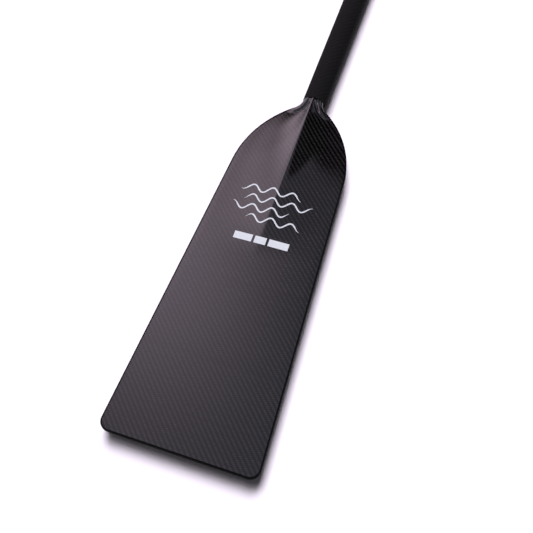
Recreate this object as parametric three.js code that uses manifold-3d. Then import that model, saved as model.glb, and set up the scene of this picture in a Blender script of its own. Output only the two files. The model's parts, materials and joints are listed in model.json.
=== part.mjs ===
// Adjustable-length dragon boat paddle, lying face up.
//
// Every piece is drawn along the shaft's own axis: x runs from the blade's tip towards the grip,
// y runs across the blade and z stands off its face. The finished group is then moved so that
// its origin lies under its middle, on the surface that the paddle rests on.

import * as THREE from 'three';
import { mergeVertices } from 'three/addons/utils/BufferGeometryUtils.js';
import Module from 'manifold-3d';

const wasm = await Module();
wasm.setup();

// ---------------------------------------------------------------- driving dimensions, millimetres

const OVERALL_LENGTH = 1200;
const REST_HEIGHT = 18; // shaft axis above the surface, set by the collar and the grip
const GAP = 0.3; // air left where two pieces are bonded or slide
const ROUND_SIDES = 28; // flats around a tube
const ARC_STEPS = 10; // flats along half of an arc in an extruded outline

// Blade outline
const BLADE_LENGTH = 459;
const TIP_WIDTH = 180;
const SIDE_TAPER = 0.056; // half width lost per millimetre along the straight side
const TIP_CORNER_R = 12;
const SHOULDER_START = 355;
const SHOULDER_R = 126;
const NECK_FILLET_R = 14;
const NECK_R = 14.2;

// Blade section
const PLATE_HALF = 3;
const SPINE_START = 235;
const SPINE_RISE_POWER = 1.12;
const FLANK_POWER = 2.5;
const NECK_ROUND_POWER = 0.75;
const NECK_BLEND_START = 437;
const GROOVE_START = 424; // a groove runs up each side of the ridge and closes in on it at the neck
const GROOVE_FULL = 448;
const GROOVE_DEPTH = 3.8;
const GROOVE_HALF = 3.5;
const GROOVE_MEETS = 467; // station where the two grooves' lines would cross
const GROOVE_SLANT = 0.51;
const SKIN = 1.2;
const RIM = 2.5;
const SPINE_CORE_HALF = 6;
const CORE_END = 429;

// Shaft
const SHAFT_R = 14.75;
const SHAFT_BORE_R = 13;
const SLOT_LENGTH = 34;
const SLOT_WIDTH = 1.6;
const SPIGOT_NECK_R = 9;
const SPIGOT_NECK_LENGTH = 29;
const SPIGOT_SOCKET_LENGTH = 62;
const FLOAT_PLUG_START = 545;
const FLOAT_PLUG_LENGTH = 60;

// Sliding extension and its guide
const TUBE_R = 11.7;
const TUBE_BORE_R = 9.5;
const TRAVEL_OUT = 80;
const TRAVEL_IN = 50;
const BUSH_LENGTH = 50;
const KEY_WIDTH = 3.4;
const KEY_TIP_R = 10.9;
const KEY_MARGIN = 5; // key end to bush end
const KEYWAY_WIDTH = 4;
const KEYWAY_FLOOR_R = 10.6;
const END_PLUG_LENGTH = 20;
const END_FLANGE = 8;
const RING_SECTION_R = 1.1;
const HANDLE_PLUG_LENGTH = 40;

// Clamp
const COLLAR_LENGTH = 30;
const COLLAR_R = 18;
const COLLAR_LIP = 5.7;
const COLLAR_SPLIT = 2.4;
const EAR_HALF = 9;
const EAR_REACH = 27.5;
const BOLT_OFFSET = 22; // bolt axis beside the shaft axis
const BOLT_R = 2;
const BOLT_HOLE_R = 2.3;
const BOLT_RECESS = 0.5; // bolt ends below the barrel's top and the nut's foot
const PAD = { length: 16, width: 10, base: 1.8, height: 3 };
const CAM_CLOSED_R = 6.3;
const CAM_OPEN_R = 5.2;
const CAM_HEEL = -90; // directions about the pivot, in degrees, with the lever closed
const CAM_TOP = 100;
const CAM_STEPS = 10;
const LEVER_OPENING = 135;
const LEVER_WIDTH = 22;
const LEVER_FORK = 6.4;
const LEVER_GAP = 0.9; // closed lever to collar
const LEVER_THICK = 3.8;
const BARREL_R = 3.5;
const BARREL_LENGTH = 18;
const WASHER = { radius: 4.8, thick: 1 };
const NUT = { radius: 5.6, ripple: 0.35, ridges: 16, height: 6.4 };
const WIPER = { radius: 17, rim: 1.4, lip: 1.2, length: 4 };

// Grip
const GRIP_WALL = 2;
const GRIP_SPIGOT_IN_TUBE = 35;
const GRIP_SPIGOT_IN_GRIP = 50;
const GRIP_END = 80; // shoulder to palm face
const GRIP_BAR_CENTRE = 60;
const GRIP_SQUARENESS = 4; // exponent of the bar's section, 2 at the stem
const GRIP_SQUARE_FROM = 14;
const GRIP_SQUARE_TO = 50;
const GRIP_SECTIONS = 20;
const GRIP_AROUND = 24;
const GRIP_OUTLINE = [
  // [from the shoulder, half width, half height]
  [0, 13.2, 13.2],
  [14, 13.3, 13.4],
  [28, 16.5, 14.4],
  [38, 27, 15.8],
  [45, 43, 17.2],
  [52, 52, 17.9],
  [GRIP_BAR_CENTRE, 54.5, REST_HEIGHT],
  [69, 52, 16.6],
  [76, 43, 12],
  [79.2, 29, 6.6],
  [GRIP_END, 12, 3],
];

// ---------------------------------------------------------------- sizes worked out from those

const SHOULDER_STATION = OVERALL_LENGTH - GRIP_END; // grip shoulder at rest
const WIPER_START = SHOULDER_STATION - TRAVEL_IN - GAP - WIPER.length; // met fully closed
const SHAFT_END = WIPER_START - GAP - COLLAR_LIP - GAP;
const BUSH_START = SHAFT_END - BUSH_LENGTH;
const TUBE_START = BUSH_START - TRAVEL_OUT; // the end plug's flange meets the bush at full reach
const CLAMP_STATION = WIPER_START - GAP - COLLAR_LENGTH / 2;
const PIVOT_HEIGHT = EAR_HALF + GAP + PAD.base + GAP + CAM_CLOSED_R;
const WASHER_TOP = -(EAR_HALF + GAP);
const NUT_TOP = WASHER_TOP - WASHER.thick - GAP;

// ---------------------------------------------------------------- finishes

const finish = (color, roughness, metalness = 0) =>
  new THREE.MeshStandardMaterial({ color, roughness, metalness });

const GLOSS_CARBON = finish(0x3a373c, 0.16);
const MATT_CARBON = finish(0x1a1a1b, 0.5);
const RIM_RESIN = finish(0x0b0b0c, 0.3);
const FOAM = finish(0xd9cfae, 0.9);
const MOULDED_BLACK = finish(0x161617, 0.45);
const NYLON = finish(0xd6d4cc, 0.5);
const RUBBER = finish(0x101010, 0.8);
const STEEL = finish(0xb9bbbd, 0.28, 1);
const BLACK_ALLOY = finish(0x202124, 0.35, 1);

// ---------------------------------------------------------------- solids

/** Merge a geometry's shared corners and leave out triangles that have collapsed to a line. */
function weld(geometry) {
  const bare = geometry.clone();
  bare.deleteAttribute('normal');
  bare.deleteAttribute('uv');
  const merged = mergeVertices(bare, 1e-4);
  const kept = [];
  const index = merged.index.array;
  for (let i = 0; i < index.length; i += 3) {
    const [a, b, c] = [index[i], index[i + 1], index[i + 2]];
    if (a !== b && b !== c && c !== a) kept.push(a, b, c);
  }
  merged.setIndex(kept);
  return merged;
}

function toSolid(geometry) {
  const welded = weld(geometry);
  const vertProperties = new Float32Array(welded.attributes.position.array);
  const triVerts = new Uint32Array(welded.index.array);
  return new wasm.Manifold(new wasm.Mesh({ numProp: 3, vertProperties, triVerts }));
}

function toGeometry(solid) {
  const { vertProperties, triVerts } = solid.getMesh();
  const geometry = new THREE.BufferGeometry();
  geometry.setAttribute('position', new THREE.BufferAttribute(new Float32Array(vertProperties), 3));
  geometry.setIndex(new THREE.BufferAttribute(new Uint32Array(triVerts), 1));
  return geometry;
}

const cut = (body, ...tools) =>
  toGeometry(tools.reduce((solid, tool) => solid.subtract(toSolid(tool)), toSolid(body)));
const join = (body, ...others) =>
  toGeometry(others.reduce((solid, other) => solid.add(toSolid(other)), toSolid(body)));
const common = (body, other) => toGeometry(toSolid(body).intersect(toSolid(other)));

/** A closed outline of [radius, x] points turned about the x axis. */
function turned(outline) {
  const points = outline.map(([radius, x]) => new THREE.Vector2(radius, x));
  return new THREE.LatheGeometry(points, ROUND_SIDES).rotateZ(-Math.PI / 2);
}

const ring = (innerR, outerR, start, end) =>
  turned([[innerR, start], [outerR, start], [outerR, end], [innerR, end], [innerR, start]]);
const rod = (radius, start, end) =>
  turned([[0, start], [radius, start], [radius, end], [0, end]]);

function block(x, y, z, length, width, height) {
  return new THREE.BoxGeometry(length, width, height).translate(x, y, z);
}

function uprightRod(radius, x, y, low, high) {
  return new THREE.CylinderGeometry(radius, radius, high - low, ROUND_SIDES)
    .rotateX(Math.PI / 2)
    .translate(x, y, (low + high) / 2);
}

/** A shape drawn across the shaft, its x and y becoming y and z, given a length along x. */
function alongShaft(shape, start, end) {
  const axes = new THREE.Matrix4().makeBasis(
    new THREE.Vector3(0, 1, 0), new THREE.Vector3(0, 0, 1), new THREE.Vector3(1, 0, 0));
  return new THREE.ExtrudeGeometry(
    shape, { depth: end - start, bevelEnabled: false, curveSegments: ARC_STEPS })
    .applyMatrix4(axes)
    .translate(start, 0, 0);
}

/** Triangles of a grid of rows by columns; `at` numbers its corners. */
function gridFaces(rows, columns, at) {
  const faces = [];
  for (let i = 0; i < rows; i++) {
    for (let j = 0; j < columns; j++) {
      faces.push(at(i, j), at(i + 1, j), at(i + 1, j + 1), at(i, j), at(i + 1, j + 1), at(i, j + 1));
    }
  }
  return faces;
}

/** A closed plate over a list of stations, between two side curves and two height fields. */
function plate({ stations, columns, right, left, low, high }) {
  const rows = stations.length - 1;
  const perRow = columns + 1;
  const perSheet = stations.length * perRow;
  const positions = [];
  for (const height of [high, low]) {
    for (const x of stations) {
      for (let j = 0; j <= columns; j++) {
        const y = THREE.MathUtils.lerp(right(x), left(x), j / columns);
        positions.push(x, y, height(x, y));
      }
    }
  }
  const top = (i, j) => i * perRow + j;
  const bottom = (i, j) => perSheet + top(i, j);
  const walls = [
    gridFaces(rows, 1, (i, j) => (j ? top(i, 0) : bottom(i, 0))),
    gridFaces(rows, 1, (i, j) => (j ? bottom(i, columns) : top(i, columns))),
    gridFaces(1, columns, (i, j) => (i ? top(0, j) : bottom(0, j))),
    gridFaces(1, columns, (i, j) => (i ? bottom(rows, j) : top(rows, j))),
  ];
  const geometry = new THREE.BufferGeometry();
  geometry.setAttribute('position', new THREE.Float32BufferAttribute(positions, 3));
  geometry.setIndex([
    ...gridFaces(rows, columns, top),
    ...gridFaces(columns, rows, (j, i) => bottom(i, j)),
    ...walls.flat(),
  ]);
  return geometry;
}

// ---------------------------------------------------------------- blade outline and section

const sideNormal = new THREE.Vector2(SIDE_TAPER, 1).normalize();
const straightSide = (x) => TIP_WIDTH / 2 - SIDE_TAPER * x;
const cornerCentre = new THREE.Vector2(
  TIP_CORNER_R, straightSide(TIP_CORNER_R) - TIP_CORNER_R / sideNormal.y);
const shoulderCentre = new THREE.Vector2(SHOULDER_START, straightSide(SHOULDER_START))
  .addScaledVector(sideNormal, -SHOULDER_R);
const filletRise = NECK_R + NECK_FILLET_R - shoulderCentre.y;
const filletCentre = new THREE.Vector2(
  shoulderCentre.x + Math.sqrt((SHOULDER_R + NECK_FILLET_R) ** 2 - filletRise ** 2),
  NECK_R + NECK_FILLET_R);
const towardsFillet = filletCentre.clone().sub(shoulderCentre).normalize();

const arcReach = (radius, offset) => Math.sqrt(Math.max(0, radius ** 2 - offset ** 2));

/** Half width of the blade at a station: tip corner, straight side, shoulder arc, neck fillet. */
function halfWidth(x, inset = 0) {
  const cornerR = TIP_CORNER_R - inset;
  const shoulderR = SHOULDER_R - inset;
  if (x < cornerCentre.x + cornerR * sideNormal.x) {
    return cornerCentre.y + arcReach(cornerR, x - cornerCentre.x);
  }
  if (x < shoulderCentre.x + shoulderR * sideNormal.x) {
    return straightSide(x) - inset / sideNormal.y;
  }
  if (x < shoulderCentre.x + shoulderR * towardsFillet.x) {
    return shoulderCentre.y + arcReach(shoulderR, x - shoulderCentre.x);
  }
  return filletCentre.y - arcReach(NECK_FILLET_R + inset, x - filletCentre.x);
}

/** Depth of the grooves that run up both sides of the ridge to the neck. */
function grooveDepth(x, y) {
  const rise = THREE.MathUtils.smoothstep(x, GROOVE_START, GROOVE_FULL);
  const fade = 1 - 0.6 * THREE.MathUtils.smoothstep(x, GROOVE_FULL + 2, BLADE_LENGTH);
  const fromGroove = Math.abs(y) - GROOVE_SLANT * (GROOVE_MEETS - x);
  return GROOVE_DEPTH * rise * fade * Math.exp(-((fromGroove / GROOVE_HALF) ** 2));
}

/** Height of the blade's face over its middle plane; `inset` goes that far under the face. */
function faceHeight(x, y, inset = 0) {
  const along = Math.max(0, x - SPINE_START) / (BLADE_LENGTH - SPINE_START);
  const crest = (NECK_R - PLATE_HALF) * along ** SPINE_RISE_POWER;
  const across = Math.min(1, Math.abs(y) / (halfWidth(x) - inset));
  const neckShare = THREE.MathUtils.smoothstep(x, NECK_BLEND_START, BLADE_LENGTH);
  const flank = (1 - across) ** FLANK_POWER;
  const round = (1 - across ** 2) ** NECK_ROUND_POWER;
  const ridge = crest * THREE.MathUtils.lerp(flank, round, neckShare);
  return PLATE_HALF - inset + Math.max(0, ridge - grooveDepth(x, y));
}

/** Stations along the blade, close together where its outline bends. */
function bladeStations(inset, end) {
  const corner = [0, 30, 60].map(
    (angle) => cornerCentre.x - (TIP_CORNER_R - inset) * Math.cos(angle * THREE.MathUtils.DEG2RAD));
  const stretches = [
    [TIP_CORNER_R, SPINE_START, 2],
    [SPINE_START, SHOULDER_START, 6],
    [SHOULDER_START, GROOVE_START, 8],
    [GROOVE_START, BLADE_LENGTH, 10],
  ];
  const rest = stretches.flatMap(([from, to, steps]) =>
    Array.from({ length: steps }, (_, i) => from + ((to - from) * i) / steps));
  return [...corner, ...rest.filter((x) => x < end - 1), end];
}

function bladeSkin(side) {
  const inset = RIM + GAP;
  const outer = (x, y) => side * faceHeight(x, y);
  const inner = (x, y) => side * faceHeight(x, y, SKIN);
  return plate({
    stations: bladeStations(inset, BLADE_LENGTH),
    columns: 24,
    right: (x) => -halfWidth(x, inset),
    left: (x) => halfWidth(x, inset),
    low: side > 0 ? inner : outer,
    high: side > 0 ? outer : inner,
  });
}

/** A length of core between the skins, from one side curve to another. */
function bladeCore(right, left, columns) {
  return plate({
    stations: bladeStations(RIM + 2 * GAP, CORE_END),
    columns,
    right,
    left,
    low: (x, y) => -faceHeight(x, y, SKIN + GAP),
    high: (x, y) => faceHeight(x, y, SKIN + GAP),
  });
}

function sideCore(side) {
  const near = () => side * (SPINE_CORE_HALF + GAP);
  const far = (x) => side * halfWidth(x, RIM + 2 * GAP);
  return side > 0 ? bladeCore(near, far, 9) : bladeCore(far, near, 9);
}

function spineCore() {
  return bladeCore(() => -SPINE_CORE_HALF, () => SPINE_CORE_HALF, 2);
}

/** The band around the blade's edge, open at the neck. */
function edgeRim() {
  const whole = plate({
    stations: bladeStations(0, BLADE_LENGTH),
    columns: 14,
    right: (x) => -halfWidth(x),
    left: (x) => halfWidth(x),
    low: (x, y) => -faceHeight(x, y),
    high: (x, y) => faceHeight(x, y),
  });
  const middle = plate({
    stations: [...bladeStations(RIM, BLADE_LENGTH), BLADE_LENGTH + 1],
    columns: 1,
    right: (x) => -halfWidth(Math.min(x, BLADE_LENGTH), RIM),
    left: (x) => halfWidth(Math.min(x, BLADE_LENGTH), RIM),
    low: () => -2 * NECK_R,
    high: () => 2 * NECK_R,
  });
  return cut(whole, middle);
}

// ---------------------------------------------------------------- shaft

/** The tenon that leaves the blade's neck and fills the shaft's end. */
function neckSpigot() {
  const socketR = SHAFT_BORE_R - GAP;
  const socketStart = BLADE_LENGTH + GAP;
  const socketEnd = socketStart + SPIGOT_SOCKET_LENGTH;
  const taper = 4;
  return turned([
    [0, BLADE_LENGTH - SPIGOT_NECK_LENGTH],
    [SPIGOT_NECK_R, BLADE_LENGTH - SPIGOT_NECK_LENGTH],
    [SPIGOT_NECK_R, socketStart],
    [socketR, socketStart],
    [socketR, socketEnd - taper],
    [socketR - taper / 2, socketEnd],
    [0, socketEnd],
  ]);
}

/** The shaft's tube, slit at its upper end so that the collar can close it. */
function shaftTube() {
  const tube = ring(SHAFT_BORE_R, SHAFT_R, BLADE_LENGTH + GAP, SHAFT_END);
  const slotCentre = SHAFT_END - SLOT_LENGTH / 2 + 1;
  const span = 3 * SHAFT_R;
  return cut(
    tube,
    block(slotCentre, 0, 0, SLOT_LENGTH + 2, span, SLOT_WIDTH),
    block(slotCentre, 0, 0, SLOT_LENGTH + 2, SLOT_WIDTH, span));
}

/** The nylon liner that the extension slides in, with the key that stops it turning. */
function guideBush() {
  const boreR = TUBE_R + GAP;
  const liner = ring(boreR, SHAFT_BORE_R - GAP, BUSH_START, SHAFT_END - GAP);
  const keyLength = BUSH_LENGTH - 2 * KEY_MARGIN;
  const rootR = boreR + GAP;
  const key = block(
    BUSH_START + BUSH_LENGTH / 2, 0, -(KEY_TIP_R + rootR) / 2, keyLength, KEY_WIDTH, rootR - KEY_TIP_R);
  return join(liner, key);
}

// ---------------------------------------------------------------- clamp, drawn about its own middle

/** The collar's open ring with its two ears, for one bore radius. */
function collarOutline(boreR) {
  const split = COLLAR_SPLIT / 2;
  const corner = 3;
  const outerAngle = Math.asin(EAR_HALF / COLLAR_R);
  const innerAngle = Math.asin(split / boreR);
  const shape = new THREE.Shape();
  shape.moveTo(EAR_REACH, split);
  shape.lineTo(EAR_REACH, EAR_HALF - corner);
  shape.absarc(EAR_REACH - corner, EAR_HALF - corner, corner, 0, Math.PI / 2);
  shape.absarc(0, 0, COLLAR_R, outerAngle, 2 * Math.PI - outerAngle);
  shape.absarc(EAR_REACH - corner, corner - EAR_HALF, corner, -Math.PI / 2, 0);
  shape.lineTo(EAR_REACH, -split);
  shape.absarc(0, 0, boreR, 2 * Math.PI - innerAngle, innerAngle, true);
  shape.closePath();
  return shape;
}

function clampCollar() {
  const half = COLLAR_LENGTH / 2;
  const sleeve = alongShaft(collarOutline(SHAFT_R + GAP), -half, half);
  const lip = alongShaft(collarOutline(TUBE_R + GAP), half - COLLAR_LIP, half);
  return cut(join(sleeve, lip), boltHole(EAR_HALF / 2), boltHole(-EAR_HALF / 2));
}

/** A rubber ring that tapers to a lip on the sliding tube. */
function wiperRing() {
  const boreR = TUBE_R + GAP;
  return turned([
    [boreR, 0],
    [WIPER.radius, 0],
    [WIPER.radius, WIPER.rim],
    [boreR + WIPER.lip, WIPER.length],
    [boreR, WIPER.length],
    [boreR, 0],
  ]);
}

/** A bolt hole to cut through a piece that lies around the given height. */
function boltHole(height) {
  return uprightRod(BOLT_HOLE_R, 0, BOLT_OFFSET, height - EAR_HALF, height + EAR_HALF);
}

function clampBolt() {
  const low = NUT_TOP - NUT.height + BOLT_RECESS;
  return uprightRod(BOLT_R, 0, BOLT_OFFSET, low, PIVOT_HEIGHT + BARREL_R - BOLT_RECESS);
}

function barrelNut() {
  const barrel = rod(BARREL_R, -BARREL_LENGTH / 2, BARREL_LENGTH / 2)
    .translate(0, BOLT_OFFSET, PIVOT_HEIGHT);
  return cut(barrel, boltHole(PIVOT_HEIGHT));
}

/** The slip pad under the cam, hollowed to its curve. */
function camPad() {
  const bottom = EAR_HALF + GAP;
  const pad = block(0, BOLT_OFFSET, bottom + PAD.height / 2, PAD.length, PAD.width, PAD.height);
  const hollow = rod(CAM_CLOSED_R + GAP, -PAD.length, PAD.length)
    .translate(0, BOLT_OFFSET, PIVOT_HEIGHT);
  return cut(pad, hollow, boltHole(bottom));
}

/** The closed lever seen along the shaft: a cam around the pivot and an arm around the collar. */
function leverOutline() {
  const innerR = COLLAR_R + LEVER_GAP;
  const outerR = innerR + LEVER_THICK;
  const pivot = new THREE.Vector2(BOLT_OFFSET, PIVOT_HEIGHT);
  const degrees = (angle) => angle * THREE.MathUtils.DEG2RAD;
  const polar = (radius, angle) =>
    new THREE.Vector2(radius * Math.cos(degrees(angle)), radius * Math.sin(degrees(angle)));
  const camPoint = (angle) => {
    const turnedBy = THREE.MathUtils.clamp((angle - CAM_HEEL) / LEVER_OPENING, 0, 1);
    return polar(THREE.MathUtils.lerp(CAM_CLOSED_R, CAM_OPEN_R, turnedBy), angle).add(pivot);
  };
  const shape = new THREE.Shape();
  const start = camPoint(CAM_HEEL);
  shape.moveTo(start.x, start.y);
  for (let step = 1; step <= CAM_STEPS; step++) {
    const point = camPoint(THREE.MathUtils.lerp(CAM_HEEL, CAM_TOP, step / CAM_STEPS));
    shape.lineTo(point.x, point.y);
  }
  // over the collar to the raised finger tip, then back along the inside of the arm
  shape.splineThru([polar(outerR + 2.6, 68), polar(outerR + 0.4, 92)]);
  shape.absarc(0, 0, outerR, degrees(104), degrees(152));
  shape.splineThru([polar(outerR + 1.1, 166), polar(outerR + 2.4, 176)]);
  shape.splineThru([polar(outerR + 1.2, 180), polar(outerR - 1.6, 175)]);
  shape.splineThru([polar(innerR + 0.3, 160)]);
  shape.absarc(0, 0, innerR, degrees(150), degrees(60), true);
  for (const angle of [-160, -135, -112]) {
    const point = camPoint(angle);
    shape.lineTo(point.x, point.y);
  }
  shape.closePath();
  return shape;
}

function clampLever() {
  const half = LEVER_WIDTH / 2;
  const body = alongShaft(leverOutline(), -half, half);
  const barrelBore = rod(BARREL_R + GAP, -LEVER_WIDTH, LEVER_WIDTH)
    .translate(0, BOLT_OFFSET, PIVOT_HEIGHT);
  const forkReach = 2 * (CAM_CLOSED_R + 2);
  const fork = block(0, BOLT_OFFSET + 2, PIVOT_HEIGHT, LEVER_FORK, forkReach, forkReach);
  return cut(body, barrelBore, fork);
}

function nutWasher() {
  const disc = uprightRod(WASHER.radius, 0, BOLT_OFFSET, WASHER_TOP - WASHER.thick, WASHER_TOP);
  return cut(disc, boltHole(WASHER_TOP));
}

/** The knurled nut that sets how hard the lever closes. */
function adjustingNut() {
  const steps = 3 * NUT.ridges;
  const points = Array.from({ length: steps }, (_, i) => {
    const angle = (2 * Math.PI * i) / steps;
    const radius = NUT.radius + NUT.ripple * Math.cos(NUT.ridges * angle);
    return new THREE.Vector2(radius * Math.cos(angle), radius * Math.sin(angle));
  });
  const body = new THREE.ExtrudeGeometry(
    new THREE.Shape(points), { depth: NUT.height, bevelEnabled: false })
    .translate(0, BOLT_OFFSET, NUT_TOP - NUT.height);
  return cut(body, boltHole(NUT_TOP - NUT.height / 2));
}

// ---------------------------------------------------------------- handle, drawn from the grip's shoulder

/** The sliding tube with its keyway along the underside. */
function extensionTube() {
  const start = TUBE_START - SHOULDER_STATION;
  const end = -GAP;
  const margin = 3;
  const tube = ring(TUBE_BORE_R, TUBE_R, start, end);
  const depth = 2 * (TUBE_R - KEYWAY_FLOOR_R);
  const keyway = block(
    (start + end) / 2, 0, -(KEYWAY_FLOOR_R + depth / 2), end - start - 2 * margin, KEYWAY_WIDTH, depth);
  return cut(tube, keyway);
}

/** The plug in the tube's lower end; its flange runs in the shaft and meets the bush. */
function endPlug() {
  const shoulder = TUBE_START - SHOULDER_STATION - GAP;
  const flangeR = SHAFT_BORE_R - GAP;
  const grooveR = flangeR - 2 * RING_SECTION_R;
  const middle = shoulder - END_FLANGE / 2;
  const half = RING_SECTION_R + GAP;
  return turned([
    [0, shoulder - END_FLANGE],
    [flangeR, shoulder - END_FLANGE],
    [flangeR, middle - half],
    [grooveR, middle - half],
    [grooveR, middle + half],
    [flangeR, middle + half],
    [flangeR, shoulder],
    [TUBE_BORE_R - GAP, shoulder],
    [TUBE_BORE_R - GAP, shoulder + END_PLUG_LENGTH],
    [0, shoulder + END_PLUG_LENGTH],
  ]);
}

function sealRing() {
  const middle = TUBE_START - SHOULDER_STATION - GAP - END_FLANGE / 2;
  const radius = SHAFT_BORE_R - GAP / 2 - RING_SECTION_R;
  return new THREE.TorusGeometry(radius, RING_SECTION_R - GAP / 2, 8, ROUND_SIDES)
    .rotateY(Math.PI / 2)
    .translate(middle, 0, 0);
}

/** The grip's outer form, or one that lies `inset` inside it and starts at `start`. */
function gripForm(inset, start) {
  const barHalf = GRIP_END - GRIP_BAR_CENTRE;
  const outline = new THREE.CatmullRomCurve3(GRIP_OUTLINE.map(([x, width, height]) => {
    const beyond = Math.max(0, x - GRIP_BAR_CENTRE);
    return new THREE.Vector3(x - (beyond * inset) / barHalf, width - inset, height - inset);
  }));
  const rings = outline.getPoints(GRIP_SECTIONS);
  rings[0].x = start;
  const positions = [];
  for (const { x, y: width, z: height } of rings) {
    const share = THREE.MathUtils.smoothstep(x, GRIP_SQUARE_FROM, GRIP_SQUARE_TO);
    const power = 2 / THREE.MathUtils.lerp(2, GRIP_SQUARENESS, share);
    for (let k = 0; k < GRIP_AROUND; k++) {
      const angle = (2 * Math.PI * k) / GRIP_AROUND;
      const [c, s] = [Math.cos(angle), Math.sin(angle)];
      const y = width * Math.sign(c) * Math.abs(c) ** power;
      const z = height * Math.sign(s) * Math.abs(s) ** power;
      positions.push(x, y, z);
    }
  }
  const startCentre = positions.length / 3;
  positions.push(rings[0].x, 0, 0, rings[GRIP_SECTIONS].x, 0, 0);
  const faces = gridFaces(GRIP_AROUND, GRIP_SECTIONS, (k, i) => i * GRIP_AROUND + (k % GRIP_AROUND));
  const last = GRIP_SECTIONS * GRIP_AROUND;
  for (let k = 0; k < GRIP_AROUND; k++) {
    const next = (k + 1) % GRIP_AROUND;
    faces.push(startCentre, next, k, startCentre + 1, last + k, last + next);
  }
  const geometry = new THREE.BufferGeometry();
  geometry.setAttribute('position', new THREE.Float32BufferAttribute(positions, 3));
  geometry.setIndex(faces);
  return geometry;
}

/** One moulded half of the grip, split along the paddle's middle plane. */
function gripShell(side) {
  const hollow = cut(gripForm(0, 0), gripForm(GRIP_WALL, -1));
  const reach = 4 * GRIP_END;
  const halfSpace = block(0, 0, side * (reach + GAP) / 2, reach, reach, reach);
  return common(hollow, halfSpace);
}

function gripCore() {
  const bore = rod(TUBE_BORE_R, -GAP, GRIP_SPIGOT_IN_GRIP + GAP);
  return cut(gripForm(GRIP_WALL + GAP, GAP), bore);
}

function gripSpigot() {
  const radius = TUBE_BORE_R - GAP;
  const chamfer = 2;
  return turned([
    [0, -GRIP_SPIGOT_IN_TUBE],
    [radius - chamfer, -GRIP_SPIGOT_IN_TUBE],
    [radius, chamfer - GRIP_SPIGOT_IN_TUBE],
    [radius, GRIP_SPIGOT_IN_GRIP],
    [0, GRIP_SPIGOT_IN_GRIP],
  ]);
}

function handleFloatPlug() {
  const start = TUBE_START - SHOULDER_STATION + END_PLUG_LENGTH + 10;
  return rod(TUBE_BORE_R - GAP, start, start + HANDLE_PLUG_LENGTH);
}

// ---------------------------------------------------------------- assembly

function piece(name, geometry, material) {
  const mesh = new THREE.Mesh(weld(geometry), material);
  mesh.name = name;
  return mesh;
}

const blade = new THREE.Group();
blade.add(
  piece('blade_face_skin', bladeSkin(1), GLOSS_CARBON),
  piece('blade_back_skin', bladeSkin(-1), GLOSS_CARBON),
  piece('blade_core_left', sideCore(1), FOAM),
  piece('blade_core_right', sideCore(-1), FOAM),
  piece('blade_spine_core', spineCore(), FOAM),
  piece('blade_edge_rim', edgeRim(), RIM_RESIN));

const shaft = new THREE.Group();
shaft.add(
  piece('neck_spigot', neckSpigot(), MATT_CARBON),
  piece('shaft_tube', shaftTube(), MATT_CARBON),
  piece('shaft_float_plug',
    rod(SHAFT_BORE_R - GAP, FLOAT_PLUG_START, FLOAT_PLUG_START + FLOAT_PLUG_LENGTH), FOAM),
  piece('guide_bush', guideBush(), NYLON));

const clamp = new THREE.Group();
clamp.position.x = CLAMP_STATION;
clamp.add(
  piece('clamp_collar', clampCollar(), MOULDED_BLACK),
  piece('clamp_bolt', clampBolt(), STEEL),
  piece('barrel_nut', barrelNut(), STEEL),
  piece('cam_pad', camPad(), NYLON),
  piece('clamp_lever', clampLever(), BLACK_ALLOY),
  piece('nut_washer', nutWasher(), STEEL),
  piece('adjusting_nut', adjustingNut(), BLACK_ALLOY));
const wiper = piece('wiper_ring', wiperRing(), RUBBER);
wiper.position.x = WIPER_START - CLAMP_STATION;
clamp.add(wiper);

const handle = new THREE.Group();
handle.position.x = SHOULDER_STATION;
handle.add(
  piece('extension_tube', extensionTube(), MATT_CARBON),
  piece('extension_end_plug', endPlug(), NYLON),
  piece('end_plug_seal_ring', sealRing(), RUBBER),
  piece('handle_float_plug', handleFloatPlug(), FOAM),
  piece('grip_spigot', gripSpigot(), NYLON),
  piece('grip_core', gripCore(), FOAM),
  piece('grip_upper_shell', gripShell(1), MOULDED_BLACK),
  piece('grip_lower_shell', gripShell(-1), MOULDED_BLACK));

const paddle = new THREE.Group();
paddle.add(blade, shaft, clamp, handle);
paddle.position.set(-OVERALL_LENGTH / 2, 0, REST_HEIGHT);

export default paddle;
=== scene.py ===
"""The looks of an adjustable dragon boat paddle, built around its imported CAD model.

Shapes are drawn in millimetres, as the paddle is drawn for manufacture: x is the station from the
blade's tip towards the grip, y runs across the blade and z stands off the shaft's axis. place()
moves them into the frame's metres, where z = 0 is the surface that the paddle lies on.
"""

import json
import math

import bmesh
import bpy
import numpy as np
from mathutils import Matrix, Vector


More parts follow.
